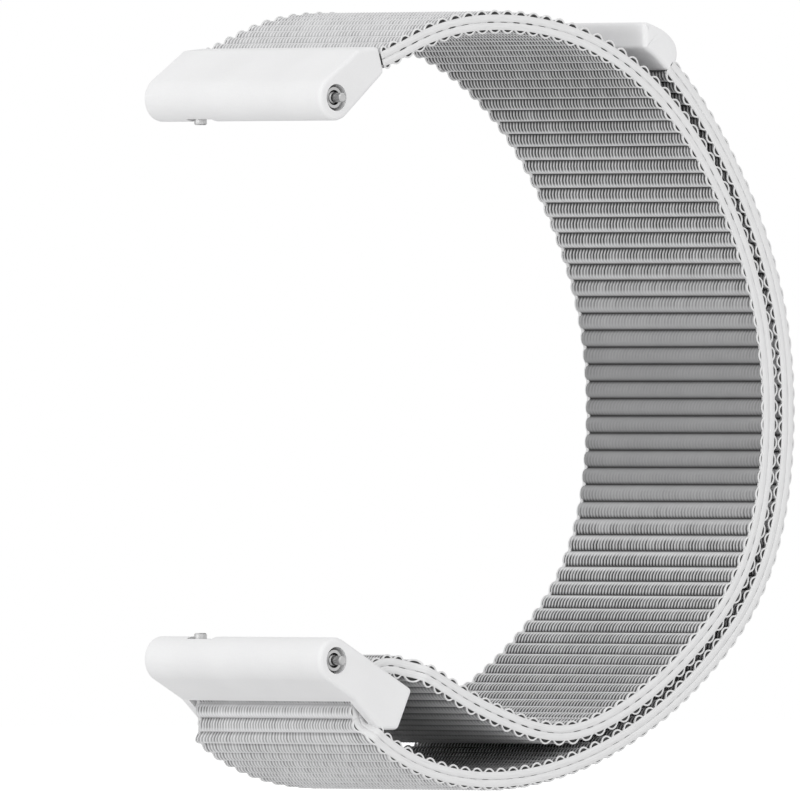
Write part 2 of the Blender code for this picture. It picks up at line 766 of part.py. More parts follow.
def make_lever(name, axis_place, inward, parent):
    """The release lever: a stem that passes through the tube's slot, with a knob in the connector's notch."""
    foot = PIN_RADIUS - LEVER_SEAT_DEPTH + LEVER_SEAT_CLEARANCE
    top = BARREL_RADIUS + LEVER_PROUD
    neck = top - LEVER_KNOB_HEIGHT
    profile = [
        (inward * foot, LEVER_STEM_RADIUS),
        (inward * neck, LEVER_STEM_RADIUS),
        (inward * neck, LEVER_KNOB_RADIUS),
        (inward * (top - PIN_CHAMFER), LEVER_KNOB_RADIUS),
        (inward * top, LEVER_KNOB_RADIUS - PIN_CHAMFER),
    ]
    add_object(name + "_lever", upright(name + "_lever", axis_place, profile), "spring_bar_steel", parent)


def make_bar_spring(name, axis_place, parent):
    """The coil spring in the tube, between the two pins."""
    step = LUG_WIDTH / 2 - TUBE_END_GAP
    start = -step + SLIDING_PIN_DEPTH + SPRING_WIRE_RADIUS + SPRING_GAP
    end = step - FIXED_PIN_DEPTH - SPRING_WIRE_RADIUS - SPRING_GAP
    curve = bpy.data.curves.new(name + "_spring", "CURVE")
    curve.dimensions = "3D"
    curve.bevel_depth = SPRING_WIRE_RADIUS
    curve.bevel_resolution = 0
    curve.use_fill_caps = True
    spline = curve.splines.new("POLY")
    count = SPRING_TURNS * SPRING_STEPS
    spline.points.add(count)
    for i in range(count + 1):
        turn = 2 * math.pi * i / SPRING_STEPS
        x = start + (end - start) * i / count
        place = Vector((x, SPRING_RADIUS * math.cos(turn), SPRING_RADIUS * math.sin(turn)))
        spline.points[i].co = (*place, 1)
    curve.materials.append(bpy.data.materials["spring_bar_steel"])
    obj = bpy.data.objects.new(name + "_spring", curve)
    bpy.context.scene.collection.objects.link(obj)
    obj.parent = parent
    obj.location = axis_place - parent.location


def make_spring_bar(name, axis_place, inward):
    bar_axis = add_axis(name + "_axis", axis_place)
    lever_place = axis_place + Vector((-LEVER_PLACE, 0, 0))
    lever_axis = add_axis(name + "_lever_axis", lever_place)
    make_bar_tube(name + "_tube", axis_place, inward, bar_axis)
    make_pins(name, axis_place, inward, bar_axis, lever_axis)
    make_lever(name, axis_place, inward, lever_axis)
    make_bar_spring(name, axis_place, bar_axis)


def fold_axis_place():
    """The tail peels about a line on the outside of the fold."""
    return arc(REAR_BAR, WRAP_OUTER, FOLD_ANGLE, FOLD_ANGLE, 1)[0]


def main():
    clear_scene()
    for name in FINISHES:
        make_material(name)
    paths = build_paths()
    make_top_connector(paths)
    make_run(paths)
    make_steel_strip(paths)
    make_buckle(add_axis("buckle_axis", REAR_BAR))
    tail_axis = add_axis("tail_axis", fold_axis_place())
    make_tail(paths, tail_axis)
    make_magnets(paths, tail_axis)
    make_end_tab(paths, tail_axis)
    make_spring_bar("top_bar", TOP_BAR, -1)
    make_spring_bar("lower_bar", LOWER_BAR, 1)


main()
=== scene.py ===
import json
import math

import bpy
import numpy as np
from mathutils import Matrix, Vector

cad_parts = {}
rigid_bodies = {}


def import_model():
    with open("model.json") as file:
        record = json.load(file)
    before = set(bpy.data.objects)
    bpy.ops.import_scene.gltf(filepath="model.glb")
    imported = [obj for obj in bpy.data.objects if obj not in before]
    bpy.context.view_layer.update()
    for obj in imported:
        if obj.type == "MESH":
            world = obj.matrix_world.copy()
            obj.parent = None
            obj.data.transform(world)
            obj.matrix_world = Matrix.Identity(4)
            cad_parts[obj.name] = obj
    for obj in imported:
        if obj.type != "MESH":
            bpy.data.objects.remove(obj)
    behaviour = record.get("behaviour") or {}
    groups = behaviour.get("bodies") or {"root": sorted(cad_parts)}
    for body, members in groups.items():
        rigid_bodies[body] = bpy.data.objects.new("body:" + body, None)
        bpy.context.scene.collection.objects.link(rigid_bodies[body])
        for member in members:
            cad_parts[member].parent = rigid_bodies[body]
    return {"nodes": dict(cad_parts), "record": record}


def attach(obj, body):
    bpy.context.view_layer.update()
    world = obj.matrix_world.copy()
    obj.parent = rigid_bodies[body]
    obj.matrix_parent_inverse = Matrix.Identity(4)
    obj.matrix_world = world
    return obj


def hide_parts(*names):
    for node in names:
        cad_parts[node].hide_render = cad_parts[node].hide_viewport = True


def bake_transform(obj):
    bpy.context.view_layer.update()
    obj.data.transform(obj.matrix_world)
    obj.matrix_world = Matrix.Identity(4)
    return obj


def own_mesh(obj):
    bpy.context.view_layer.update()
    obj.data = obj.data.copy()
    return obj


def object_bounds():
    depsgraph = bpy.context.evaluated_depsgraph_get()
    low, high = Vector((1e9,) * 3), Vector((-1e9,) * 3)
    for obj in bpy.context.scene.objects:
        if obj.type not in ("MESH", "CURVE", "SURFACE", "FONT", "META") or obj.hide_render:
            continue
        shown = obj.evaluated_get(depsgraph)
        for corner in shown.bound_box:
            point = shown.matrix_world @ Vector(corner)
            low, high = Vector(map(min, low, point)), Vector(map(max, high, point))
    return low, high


for left_over in list(bpy.data.objects):
    bpy.data.objects.remove(left_over, do_unlink=True)

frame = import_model()
cad_box = [list(corner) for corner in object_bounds()]

MM = 0.001

# Sizes of the solids, which the woven band follows
LUG_WIDTH = 22.0 * MM
BAR_SPACING = 47.7 * MM
LOOP_REACH = 50.95 * MM
LOOP_RISE = 6.5 * MM
BAND_THICKNESS = 1.7 * MM
BAND_NECK_CLEARANCE = 0.3 * MM
BAND_NECK_EASE = 2.0 * MM
LAP_GAP = 0.5 * MM
FOLD_GAP = 0.3 * MM
TAIL_LIFT = 0.45 * MM
TAIL_LIFT_LENGTH = 12.0 * MM
RUN_KNOT_SHARES = (
    (0.222, 0.966),
    (0.396, 1.000),
    (0.580, 0.948),
    (0.749, 0.794),
    (0.870, 0.572),
    (0.982, 0.164),
    (0.998, -0.148),
    (0.931, -0.562),
    (0.828, -0.750),
    (0.661, -0.930),
    (0.517, -0.994),
    (0.388, -0.952),
    (0.291, -0.891),
    (0.207, -0.826),
)
LAP_START_SHARE = 0.76
LAP_END_SHARE = 0.281
BELLY_START_HANDLE = 10.0 * MM
BELLY_END_HANDLE = 12.0 * MM
MOUTH_BACK = 5.3 * MM
MOUTH_RISE = 3.25 * MM
MOUTH_ANGLE = math.radians(17)
REAR_BAR_BACK = 7.2 * MM
REAR_BAR_DROP = 3.95 * MM
REAR_BAR_RADIUS = 2.2 * MM
WALL_THICKNESS = 1.0 * MM
WIDE_FROM = math.radians(203)
WIDE_TO = math.radians(226)
WRAP_CLEARANCE = 0.4 * MM
WRAP_START = math.radians(97)
FOLD_ANGLE = math.radians(229)
WRAP_END = math.radians(238)
TONGUE_LENGTH = 2.3 * MM
TONGUE_THICKNESS = 1.0 * MM
TONGUE_SIDE_INSET = 1.7 * MM
DENSE_STEPS = 40
DIRECTION_REACH = 0.35 * MM
SAME_PLACE = 1e-9

HALF_SPACING = BAR_SPACING / 2
LOOP_HEIGHT = HALF_SPACING + LOOP_RISE
TOP_BAR = np.array([0, HALF_SPACING])
REAR_BAR = np.array([REAR_BAR_BACK, -HALF_SPACING - REAR_BAR_DROP])
MOUTH = TOP_BAR + np.array([MOUTH_BACK, MOUTH_RISE])
WRAP_RADIUS = REAR_BAR_RADIUS + WRAP_CLEARANCE + BAND_THICKNESS / 2
LAP_OFFSET = BAND_THICKNESS + LAP_GAP
FOLD_TURN = FOLD_GAP / WRAP_RADIUS
BAND_WIDTH = LUG_WIDTH
NECK_WIDTH = LUG_WIDTH - 2 * WALL_THICKNESS - 2 * BAND_NECK_CLEARANCE
TONGUE_WIDTH = LUG_WIDTH - 2 * TONGUE_SIDE_INSET

# Weave
RIB_PITCH = 1.466 * MM
RIB_OFFSET = 0.38 * MM
RIB_SHIFT_SHARE = 0.38
RIB_SHIFT_LENGTH = 14.0 * MM
RIB_CREST = 0.95 * MM
RIB_VALLEY = 0.50 * MM
RIB_FLANK_SHARE = 0.4
RIB_POWER = 1.5
RIB_ROWS = (0.0, 0.06, 0.16, 0.3, 0.5, 0.7, 0.84, 0.94)
RIB_END_ROUND = 0.10 * MM
RIB_END_DROP = 0.2
RIB_HEIGHT_CHANGE = 0.03
SHORTEST_RIB = 0.5
VALLEY_SHARE = 0.45
# Painted shade in the rib valleys: further up the flanks on the run's outside in the pocket,
# fainter on the fold
PAINTED_VALLEY_SHARE_IN_POCKET = 1.0
PAINTED_VALLEY_LIFT_IN_FOLD = 0.75
THREAD_PITCH = 0.381 * MM
THREAD_PHASES = (0.0, 0.30, 0.64)
THREAD_LIFTS = (0.0, 0.0, 1.0)
THREAD_SLANT = -0.8
THREAD_SLANT_IN_FOLD = -0.3
THREAD_SLANT_FADE = 8
THREAD_DEPTH_CHANGE = 0.22
GROOVE_DEPTH = 0.10 * MM
# Painted shade in the thread grooves
GROOVE_PAINTED_SHADE = 0.95
GROOVE_WHEN_FLAT = 0.14
GROOVE_BY_EDGE = 0.2
EDGE_REACH = 3.5 * MM
GROOVE_ON_FAR_FLANK = 0.25
FLANK_FADE = (0.46, 0.74)
OPEN_FROM_SLOPE = 0.10
OPEN_TO_SLOPE = 0.50
OPEN_IN_FOLD = 0.5
OPEN_OUTSIDE = 0.42
OPEN_IN_POCKET = 0.15
POCKET_FROM = 60.0 * MM
POCKET_TO = 100.0 * MM
# Painted shade on the run's wrist side, darkest where the band stands upright
INNER_PAINTED_SHADE = 0.62
# Painted shade on the inside of the fold, the tail's face towards the run
FOLD_INSIDE_PAINTED_SHADE = 0.75
WEAVE_INSET = 0.09 * MM
SEAM_ANGLE = math.radians(190)
RIBS_IN_A_PIECE = 32
RIBS_IN_FOLD = 10
JOIN_GAP = 0.05 * MM
TONGUE_STEP = 0.001 * MM
TONGUE_TONE = 0.5

# The band's flat map, in shares of its side
MAP_SIDE = 0.05
MAP_SIDE_START = 0.8
MAP_SIDE_WIDTH = 0.6
MAP_FACES_HEIGHT = 0.94
MAP_CAP_START = 0.95
MAP_CAP_HEIGHT = 0.02
MAP_CAP_STEP = 0.025

# Edge ribbons and lacing
RIBBON_INNER = 0.005 * MM
RIBBON_OUTER = 0.65 * MM
RIBBON_DASH = 0.06 * MM
RIBBON_DASH_SHARE = 0.4
RIBBON_DASH_POWER = 0.8
TAIL_DASH_SHARE = 0.4
RIBBON_DEPTH = 0.30 * MM
RIBBON_PROUD = 0.02 * MM
RIBBON_CORNER = 0.035 * MM
RIBBON_STEPS = 6
LACE_RADIUS = 0.085 * MM
LACE_FOOT = 0.68 * MM
LACE_CREST = 1.00 * MM
LACE_CREST_ON_FOLD = 0.94 * MM
LACE_CREST_IN_LAP = 1.07 * MM
LACE_CREST_OUTSIDE = 0.89 * MM
LACE_FLAT_SHARE = 0.7
OUTSIDE_FROM = 20.0 * MM
OUTSIDE_TO = 32.0 * MM
LACE_POWER = 2.2
LACE_WIDTH_SHARE = 0.8
LACE_INSET = 0.06 * MM
LACE_LEAN = 0.04 * MM
LACE_STEPS = 12
LACE_SIDES = 6
LACE_MOST_STRETCH = 1.9

# Pull tab, as places on from the band's end and out from its middle
TAB_OUTLINE = np.array((
    (4.60, 0.55),
    (4.58, 1.05),
    (3.46, 1.54),
    (2.50, 1.92),
    (1.59, 2.07),
    (0.80, 2.01),
    (0.21, 1.73),
    (-0.19, 1.31),
    (-0.41, 0.83),
    (-0.43, 0.24),
    (-0.33, -0.25),
    (0.00, -0.45),
    (0.61, -0.47),
    (1.08, -0.46),
    (1.96, -0.52),
    (2.74, -0.71),
    (3.25, -0.81),
    (3.60, -0.40),
)) * MM
TAB_CUTS = 3
TAB_HALF_WIDTH = 11.08 * MM
TAB_RIM = 0.45 * MM
TAB_RIM_STEPS = 5
TAB_TURN_SHARE = 0.55
TAB_EASE_PASSES = 4
TAB_TONGUE_HALF = 0.4 * MM

# Finishes, with their (place, grey) stops. Noise is scaled per millimetre on the band and
# per metre elsewhere
GREY_BLUE = 1.003
# The weave's grey runs from painted shade in grooves, valleys and rib ends up to the yarn's own
# tone
WEAVE_TONES_AND_PAINTED_SHADE = ((0.0, 0.03), (0.2, 0.10), (0.6, 0.60), (1.0, 0.92))
# Painted shade, passed on as it stands
WEAVE_PAINTED_SHADES = ((0.0, 0.0), (1.0, 1.0))
WEAVE_BLOTCHES = ((0.3, 0.92), (0.7, 1.0))
WEAVE_STREAKS = ((0.25, 0.88), (0.75, 1.0))
WEAVE_BLOTCH_SCALE = 0.22
WEAVE_FIBRE_SCALE = (14.0, 2.2, 1.0)
RIBBON_TONES = ((0.25, 0.66), (0.5, 0.77), (0.8, 0.81))
RIBBON_FIBRE_SCALE = (11.0, 0.5, 1.0)
MOULDED_TONES = ((0.3, 0.80), (0.7, 0.84))
MOULDED_SPECKS = ((0.25, 0.97), (0.6, 1.0))
MOULDED_DRIFT_SCALE = (160, 160, 160)
MOULDED_GRAIN_SCALE = (9000, 9000, 9000)
METAL_DARKER = 0.82
METAL_ROUGH_RANGE = 0.14

# Stage
PICTURE_WIDTH = 67.96 * MM
CAMERA_AZIMUTH = math.radians(46.7)
CAMERA_DISTANCE = 3.2
CAMERA_CLIP = (0.05, 20.0)
SENSOR = 36.0
PIXELS_ACROSS = 800
ORIGIN_PIXEL = (247.9, 379.0)
FLOOR_DROP = 30 * MM
FLOOR_HALF_WIDTH = 3.0
FLOOR_GREY = 0.86
FLOOR_GLOW = 0.5
WHITE = (1, 1, 1, 1)
WORLD_FILL = 0.78
WORLD_SEEN = 1.0
LAMP_AIM = (0, 0.02, 0)
# name, place, size, power
LAMPS = (
    ("key", (0.2, -0.75, 0.85), 0.8, 2.0),
    ("side_fill", (1.0, -0.1, 0.1), 0.6, 2.0),
    ("front_fill", (0.1, -1.0, 0.03), 0.16, 1.5),
)

random = np.random.RandomState(11)


# Curves in the side view, as (back, up) points


def arc(centre, radius, start, end, steps):
    turns = np.linspace(start, end, steps + 1)
    return centre + radius * np.stack([np.cos(turns), np.sin(turns)], 1)


def step_lengths(points):
    return np.linalg.norm(np.diff(points, axis=0), axis=1)


def hermite(start, end, leave, arrive, t):
    rest = 1 - t
    return (
        (1 + 2 * t) * rest * rest * start
        + t * rest * rest * leave
        + t * t * (1 + 2 * rest) * end
        - t * t * rest * arrive
    )


def clamped_spline(knots, start_direction, end_direction, steps):
    spans = step_lengths(knots)
    count = len(knots)
    rows = np.zeros((count, count))
    right = np.zeros((count, 2))
    rows[0, 0] = 1
    rows[-1, -1] = 1
    right[0] = start_direction
    right[-1] = end_direction
    for i in range(1, count - 1):
        before, after = spans[i - 1], spans[i]
        rows[i, i - 1] = after
        rows[i, i] = 2 * (before + after)
        rows[i, i + 1] = before
        rise_before = (knots[i] - knots[i - 1]) / before
        rise_after = (knots[i + 1] - knots[i]) / after
        right[i] = 3 * (after * rise_before + before * rise_after)
    slopes = np.linalg.solve(rows, right)
    points = []
    for i, span in enumerate(spans):
        leave, arrive = slopes[i] * span, slopes[i + 1] * span
        for t in np.linspace(0, 1, steps, endpoint=False):
            points.append(hermite(knots[i], knots[i + 1], leave, arrive, t))
    points.append(knots[-1])
    return np.array(points)


def bezier(start, first_handle, second_handle, end, steps):
    t = np.linspace(0, 1, steps + 1)[:, None]
    rest = 1 - t
    return (
        rest**3 * start
        + 3 * rest**2 * t * first_handle
        + 3 * rest * t**2 * second_handle
        + t**3 * end
    )


class Path:
    """A curve in the side view that answers by the distances along it."""

    def __init__(self, points):
        self.points = points[np.concatenate([[True], step_lengths(points) > SAME_PLACE])]
        self.along = np.concatenate([[0], np.cumsum(step_lengths(self.points))])
        self.length = float(self.along[-1])

    def at(self, distances):
        s = np.atleast_1d(np.asarray(distances, float))
        i = np.clip(np.searchsorted(self.along, s) - 1, 0, len(self.points) - 2)
        a, b = self.points[i], self.points[i + 1]
        return a + (b - a) * ((s - self.along[i]) / (self.along[i + 1] - self.along[i]))[:, None]

    def direction(self, distances):
        s = np.atleast_1d(np.asarray(distances, float))
        step = self.at(s + DIRECTION_REACH) - self.at(s - DIRECTION_REACH)
        return step / np.linalg.norm(step, axis=1)[:, None]

    def normal(self, distances):
        d = self.direction(distances)
        return np.stack([-d[:, 1], d[:, 0]], 1)


def heading(angle):
    return np.array([math.cos(angle), math.sin(angle)])


def wrap_heading(angle):
    return np.array([-math.sin(angle), math.cos(angle)])


def smooth_share(value, start, end):
    share = np.clip((value - start) / (end - start), 0, 1)
    return share * share * (3 - 2 * share)


def build_band():
    """The band's curve from the upper connector to the tab, and the distances that matter on it."""
    start = MOUTH - heading(MOUTH_ANGLE) * TONGUE_LENGTH
    around = [np.array([y * LOOP_REACH, z * LOOP_HEIGHT]) for y, z in RUN_KNOT_SHARES]
    knots = np.array([start, MOUTH, *around, REAR_BAR + WRAP_RADIUS * heading(WRAP_START)])
    directions = heading(MOUTH_ANGLE), wrap_heading(WRAP_START)
    wrist = Path(clamped_spline(knots, *directions, DENSE_STEPS))
    wrapped = arc(REAR_BAR, WRAP_RADIUS, WRAP_START, FOLD_ANGLE - FOLD_TURN / 2, DENSE_STEPS)
    lap_start = wrist.length * LAP_START_SHARE
    lap_end = wrist.length * LAP_END_SHARE
    folded = arc(REAR_BAR, WRAP_RADIUS, FOLD_ANGLE + FOLD_TURN / 2, WRAP_END, DENSE_STEPS)
    spots = np.linspace(lap_start, lap_end, DENSE_STEPS * 8 + 1)
    lift = TAIL_LIFT * np.clip(1 - (spots - lap_end) / TAIL_LIFT_LENGTH, 0, 1) ** 2
    lapped = wrist.at(spots) + wrist.normal(spots) * (LAP_OFFSET + lift)[:, None]
    arrive = -wrist.direction(lap_start)[0]
    belly = bezier(
        folded[-1],
        folded[-1] + wrap_heading(WRAP_END) * BELLY_START_HANDLE,
        lapped[0] - arrive * BELLY_END_HANDLE,
        lapped[0],
        DENSE_STEPS * 2,
    )
    run = Path(np.concatenate([wrist.points, wrapped[1:]]))
    tail = Path(np.concatenate([folded, belly[1:], lapped[1:]]))
    whole = Path(np.concatenate([run.points, tail.points]))
    band = {"path": whole, "wrist": wrist.length}
    for key, angle in (("seam", SEAM_ANGLE), ("wide_from", WIDE_FROM), ("wide_to", WIDE_TO)):
        band[key] = wrist.length + (angle - WRAP_START) * WRAP_RADIUS
    return band


BAND = build_band()
PATH = BAND["path"]
BAND_START = TONGUE_LENGTH + JOIN_GAP
BAND_END = PATH.length - JOIN_GAP


def rib_places():
    """Where each rib starts: even steps on the wrist's side, with a shorter rib at either end."""
    s = PATH.along
    face = PATH.points - PATH.normal(s) * RIB_CREST
    reach = np.concatenate([[0], np.cumsum(step_lengths(face))])
    shift = RIB_SHIFT_SHARE * smooth_share(s, BAND["wrist"] - RIB_SHIFT_LENGTH, BAND["wrist"])
    number = (reach - RIB_OFFSET) / RIB_PITCH + shift
    first, last = np.interp((BAND_START, BAND_END), s, number)
    whole = np.arange(math.ceil(first + SHORTEST_RIB), math.floor(last - SHORTEST_RIB) + 1)
    return np.concatenate([[BAND_START], np.interp(whole, number, s), [BAND_END]])


RIB_PLACES = rib_places()
RIB_NUMBERS = np.arange(len(RIB_PLACES))
RIB_COUNT = len(RIB_PLACES) - 1
SEAM_RIB = round(np.interp(BAND["seam"], RIB_PLACES, RIB_NUMBERS))
HEIGHT_SHARES = 1 + RIB_HEIGHT_CHANGE * random.uniform(-1, 1, RIB_COUNT + 1)
DASH_SHARES = random.uniform(0, 1, RIB_COUNT + 1) ** RIBBON_DASH_POWER


def half_width(s):
    """Half the band's width, which narrows where it passes between the buckle's walls."""
    narrow_from = BAND["wrist"] - 2 * BAND_NECK_EASE
    narrow = smooth_share(s, narrow_from, narrow_from + BAND_NECK_EASE)
    wide = smooth_share(s, BAND["wide_from"], BAND["wide_to"])
    return (BAND_WIDTH - (BAND_WIDTH - NECK_WIDTH) * narrow * (1 - wide)) / 2


def openness(s):
    """0 where the band stands upright and its ribs close up, 1 where it lies flat and they open."""
    return smooth_share(np.abs(PATH.direction(s)[:, 0]), OPEN_FROM_SLOPE, OPEN_TO_SLOPE)


def fold_share(s):
    """1 on the fold and its belly, 0 on the run and where the tail lies along it."""
    along_run = smooth_share(s, BAND["wrist"] + OUTSIDE_FROM, BAND["wrist"] + OUTSIDE_TO)
    return np.where(s > BAND["wrist"], 1 - along_run, 0)


def rib_place(rib):
    """The distance along the band of a rib's start, or of a place within it."""
    return np.interp(rib, RIB_NUMBERS, RIB_PLACES)


def spread(s, across, through):
    """World points of rows at distances s, from their places across the band and through it."""
    centre, normal = PATH.at(s), PATH.normal(s)
    points = np.empty(across.shape + (3,))
    points[..., 0] = across
    points[..., 1] = centre[:, 0, None] + normal[:, 0, None] * through
    points[..., 2] = centre[:, 1, None] + normal[:, 1, None] * through
    return points


# Meshes


def ring_quads(rows, ring):
    """Quads between the rows of a swept ring."""
    row = np.arange(rows - 1)[:, None] * ring
    a = np.arange(ring)[None, :]
    b = (a + 1) % ring
    return np.stack([row + a, row + b, row + ring + b, row + ring + a], 2).reshape(-1, 4)


def end_caps(rows, ring):
    """Quads across both ends of a sweep, whose ring's first half faces its second half."""
    j = np.arange(ring // 2 - 1)
    start = np.stack([j + 1, j, ring - 1 - j, ring - 2 - j], 1)
    return np.concatenate([start, start[:, ::-1] + (rows - 1) * ring])


def outward(points, quads):
    """The quads turned so that the solid's volume is positive."""
    a, b, c, d = (points[quads[:, i]] for i in range(4))
    volume = (np.cross(a, b) * c).sum() + (np.cross(a, c) * d).sum()
    return quads if volume > 0 else quads[:, ::-1]


def make_mesh(name, points, quads, material, values=None, maps=None):
    """A smooth mesh object from arrays, with named values on its points and a map of its faces."""
    mesh = bpy.data.meshes.new(name)
    mesh.vertices.add(len(points))
    mesh.vertices.foreach_set("co", points.astype(np.float32).ravel())
    mesh.loops.add(quads.size)
    mesh.loops.foreach_set("vertex_index", quads.astype(np.int32).ravel())
    mesh.polygons.add(len(quads))
    mesh.polygons.foreach_set("loop_start", np.arange(0, quads.size, 4, dtype=np.int32))
    mesh.update(calc_edges=True)
    mesh.validate()
    for key, value in (values or {}).items():
        attribute = mesh.attributes.new(key, "FLOAT", "POINT")
        attribute.data.foreach_set("value", value.astype(np.float32).ravel())
    if maps is not None:
        layer = mesh.uv_layers.new(name="OFBake")
        layer.data.foreach_set("uv", maps.astype(np.float32).ravel())
    mesh.shade_smooth()
    mesh.materials.append(material)
    obj = bpy.data.objects.new(name, mesh)
    bpy.context.scene.collection.objects.link(obj)
    return obj


# Materials


def new_material(name):
    material = bpy.data.materials.new(name)
    material.use_nodes = True
    tree = material.node_tree
    return material, tree, tree.nodes["Principled BSDF"]


def add_node(tree, kind, inputs=None, **settings):
    node = tree.nodes.new(kind)
    for key, value in settings.items():
        setattr(node, key, value)
    for key, value in (inputs or {}).items():
        if isinstance(value, bpy.types.NodeSocket):
            tree.links.new(value, node.inputs[key])
        else:
            node.inputs[key].default_value = value
    return node


def grey(value):
    return (value, value, value * GREY_BLUE)


def tones(tree, factor, stops):
    """A grey that follows the factor through (place, grey) stops."""
    node = add_node(tree, "ShaderNodeValToRGB", {"Fac": factor})
    elements = node.color_ramp.elements
    while len(elements) < len(stops):
        elements.new(0.5)
    for element, (place, value) in zip(elements, stops):
        element.position = place
        element.color = (*grey(value), 1)
    return node.outputs["Color"]


def attribute(tree, name):
    return add_node(tree, "ShaderNodeAttribute", attribute_name=name).outputs["Fac"]


def band_place(tree):
    """The place on the band in millimetres: across it and along it."""
    inputs = {"X": attribute(tree, "across"), "Y": attribute(tree, "along")}
    return add_node(tree, "ShaderNodeCombineXYZ", inputs).outputs["Vector"]


def object_place(tree):
    return add_node(tree, "ShaderNodeTexCoord").outputs["Object"]


def stretched(tree, place, scale):
    return add_node(tree, "ShaderNodeMapping", {"Vector": place, "Scale": scale}).outputs["Vector"]


def noise(tree, place, detail, roughness, scale=1.0):
    inputs = {"Vector": place, "Scale": scale, "Detail": detail, "Roughness": roughness}
    return add_node(tree, "ShaderNodeTexNoise", inputs).outputs["Fac"]


def times(tree, colour, other):
    node = add_node(tree, "ShaderNodeMix", data_type="RGBA", blend_type="MULTIPLY")
    node.inputs["Factor"].default_value = 1.0
    tree.links.new(colour, node.inputs["A"])
    tree.links.new(other, node.inputs["B"])
    return node.outputs["Result"]


def finish(tree, shader, colour, height, strength, depth, **constants):
    """Links a colour and a bump to the shader and sets the values that are the same all over."""
    tree.links.new(colour, shader.inputs["Base Color"])
    inputs = {"Height": height, "Strength": strength, "Distance": depth}
    bump = add_node(tree, "ShaderNodeBump", inputs)
    tree.links.new(bump.outputs["Normal"], shader.inputs["Normal"])
    for key, value in constants.items():
        shader.inputs[key.replace("_", " ")].default_value = value


def link_roughness(tree, shader, factor, least, most):
    inputs = {"Value": factor, "To Min": least, "To Max": most}
    rough = add_node(tree, "ShaderNodeMapRange", inputs)
    tree.links.new(rough.outputs["Result"], shader.inputs["Roughness"])


def weave_material():
    """Nylon threads over ribs: the yarn's tone on light crests, fibres along each thread, and
    painted shade in grooves and valleys.
    """
    material, tree, shader = new_material("nylon_weave")
    place = band_place(tree)
    blotch = noise(tree, place, 3.0, 0.55, WEAVE_BLOTCH_SCALE)
    fibre = noise(tree, stretched(tree, place, WEAVE_FIBRE_SCALE), 4.0, 0.6)
    # The lift on the band's points is painted shade: dark in grooves, valleys and at rib ends
    colour = tones(tree, attribute(tree, "lift"), WEAVE_TONES_AND_PAINTED_SHADE)
    # Painted shade from the band's points darkens the yarn
    colour = times(tree, colour, tones(tree, attribute(tree, "painted_shade"), WEAVE_PAINTED_SHADES))
    colour = times(tree, colour, tones(tree, blotch, WEAVE_BLOTCHES))
    colour = times(tree, colour, tones(tree, fibre, WEAVE_STREAKS))
    constants = {"Roughness": 0.62, "Specular_IOR_Level": 0.35, "Sheen_Weight": 0.12}
    finish(tree, shader, colour, fibre, 0.35, 0.04 * MM, **constants)
    return material


def ribbon_material():
    """Flat white nylon with soft lengthwise streaks."""
    material, tree, shader = new_material("nylon_ribbon")
    fibre = noise(tree, stretched(tree, band_place(tree), RIBBON_FIBRE_SCALE), 4.0, 0.65)
    constants = {"Roughness": 0.58, "Specular_IOR_Level": 0.3, "Sheen_Weight": 0.15}
    finish(tree, shader, tones(tree, fibre, RIBBON_TONES), fibre, 0.25, 0.03 * MM, **constants)
    return material


def moulded_material():
    """Satin white moulding: a very fine grain, and tone and gloss that drift a little."""
    material, tree, shader = new_material("moulded_white_satin")
    drift = noise(tree, stretched(tree, object_place(tree), MOULDED_DRIFT_SCALE), 3.0, 0.5)
    grain = noise(tree, stretched(tree, object_place(tree), MOULDED_GRAIN_SCALE), 3.0, 0.6)
    colour = times(tree, tones(tree, drift, MOULDED_TONES), tones(tree, grain, MOULDED_SPECKS))
    finish(tree, shader, colour, grain, 0.12, 0.02 * MM, Specular_IOR_Level=0.4)
    link_roughness(tree, shader, drift, 0.42, 0.54)
    return material


def metal_material(name, light, rough, scale):
    """Metal with fine tool marks stretched one way, which move its colour, gloss and normal."""
    material, tree, shader = new_material(name)
    marks = noise(tree, stretched(tree, object_place(tree), scale), 4.0, 0.65)
    colour = tones(tree, marks, ((0.3, light * METAL_DARKER), (0.7, light)))
    finish(tree, shader, colour, marks, 0.2, 0.01 * MM, Metallic=1.0)
    link_roughness(tree, shader, marks, rough, rough + METAL_ROUGH_RANGE)
    return material


WEAVE = weave_material()
RIBBON = ribbon_material()
FINISHES = {
    "moulded_white": moulded_material(),
    "spring_bar_steel": metal_material("turned_steel", 0.62, 0.24, (9000, 700, 700)),
    "strip_steel": metal_material("rolled_steel", 0.48, 0.30, (400, 6000, 6000)),
    "magnet_plating": metal_material("nickel_plate", 0.72, 0.16, (1500, 1500, 1500)),
}


# The woven band


def thread_columns():
    """Places across one face, from -1 to 1, and the lift there: 0 in a groove, 1 on a thread."""
    face = BAND_WIDTH / 2 - WEAVE_INSET
    threads = round(2 * face / THREAD_PITCH)
    places, lifts = [], []
    for i in range(threads):
        for phase, lift in zip(THREAD_PHASES, THREAD_LIFTS):
            places.append(-1 + 2 * (i + phase) / threads)
            lifts.append(lift)
    return np.array(places + [1.0]), np.array(lifts + [0.0])


COLUMNS, COLUMN_LIFTS = thread_columns()
THREAD_CHANGE = 1 + THREAD_DEPTH_CHANGE * random.uniform(-1, 1, (RIB_COUNT + 1, len(COLUMNS)))


def rib_rise(phase):
    """How far a rib stands up, from 0 in the valley up its flanks to 1 on its crest."""
    from_crest = np.clip(1 - np.minimum(phase, 1 - phase) / RIB_FLANK_SHARE, 0, 1)
    return 1 - from_crest**RIB_POWER


def weave_rows(first, last):
    """The distance, rib and phase of each row of a stretch of ribs, valley to valley."""
    ribs = np.append(np.repeat(np.arange(first, last), len(RIB_ROWS)), last)
    phases = np.append(np.tile(RIB_ROWS, last - first), 0.0)
    return rib_place(ribs + phases), ribs, phases


